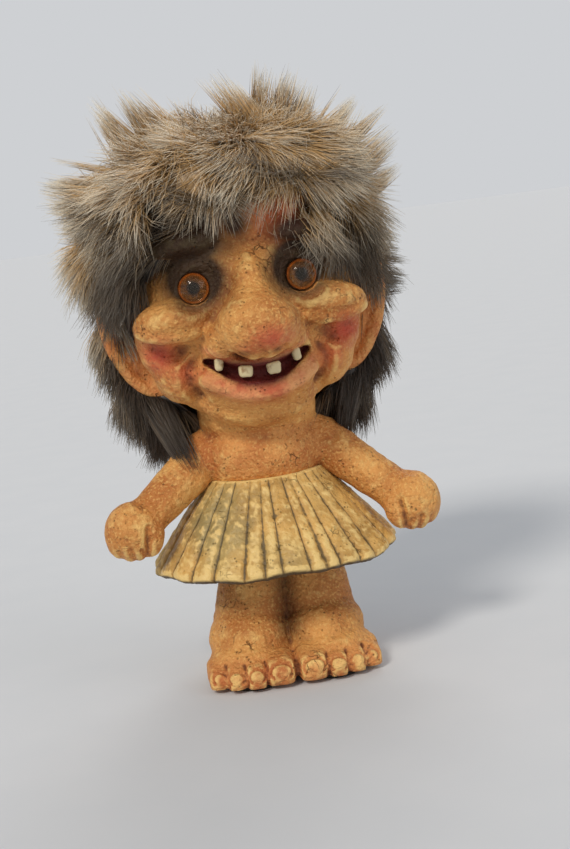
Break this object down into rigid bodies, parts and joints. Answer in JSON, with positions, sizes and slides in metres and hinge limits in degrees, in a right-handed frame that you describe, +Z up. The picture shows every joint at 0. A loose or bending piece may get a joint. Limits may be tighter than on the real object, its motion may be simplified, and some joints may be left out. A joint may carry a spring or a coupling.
{
  "type": "troll figure",
  "caption": "Standing troll ornament with a grinning cast head, glass eyes, fur wig, moulded pleated skirt, arms held out to the sides and bare broad feet on a felt sole.",
  "frame": {"origin": "on the underside of the felt sole, midway between the feet, under the spine", "axes": "+Z up, -Y the way the figure faces, +X towards the figure's left hand"},
  "size_m": [0.1032, 0.095, 0.1778],
  "materials": {
    "flesh": "matt paint with a dark wash",
    "skirt_paint": "matt paint, dry-brushed",
    "tooth_paint": "matt",
    "eye_glass": "polished",
    "iris": "gloss",
    "pupil": "gloss",
    "wire": "bare",
    "wood": "bare",
    "plaster": "matt",
    "felt": "felted",
    "hide": "suede",
    "fur": "long-haired, frosted at the tips"
  },
  "bodies": {
    "root": {"felt_sole": "felt", "leg_casting": "flesh", "ballast_plugs": "plaster", "spine_dowel": "wood", "skirt": "skirt_paint", "torso": "flesh", "arm_pegs": "wood", "left_arm": "flesh", "right_arm": "flesh", "head": "flesh", "left_ear": "flesh", "right_ear": "flesh", "teeth": "tooth_paint", "wig_hide": "hide", "fringe_fur": "fur", "crown_fur": "fur", "left_side_fur": "fur", "right_side_fur": "fur", "back_fur": "fur", "left_eye_glass": "eye_glass", "left_eye_iris": "iris", "left_eye_pupil": "pupil", "left_eye_wire": "wire", "right_eye_glass": "eye_glass", "right_eye_iris": "iris", "right_eye_pupil": "pupil", "right_eye_wire": "wire"}
  },
  "joints": []
}
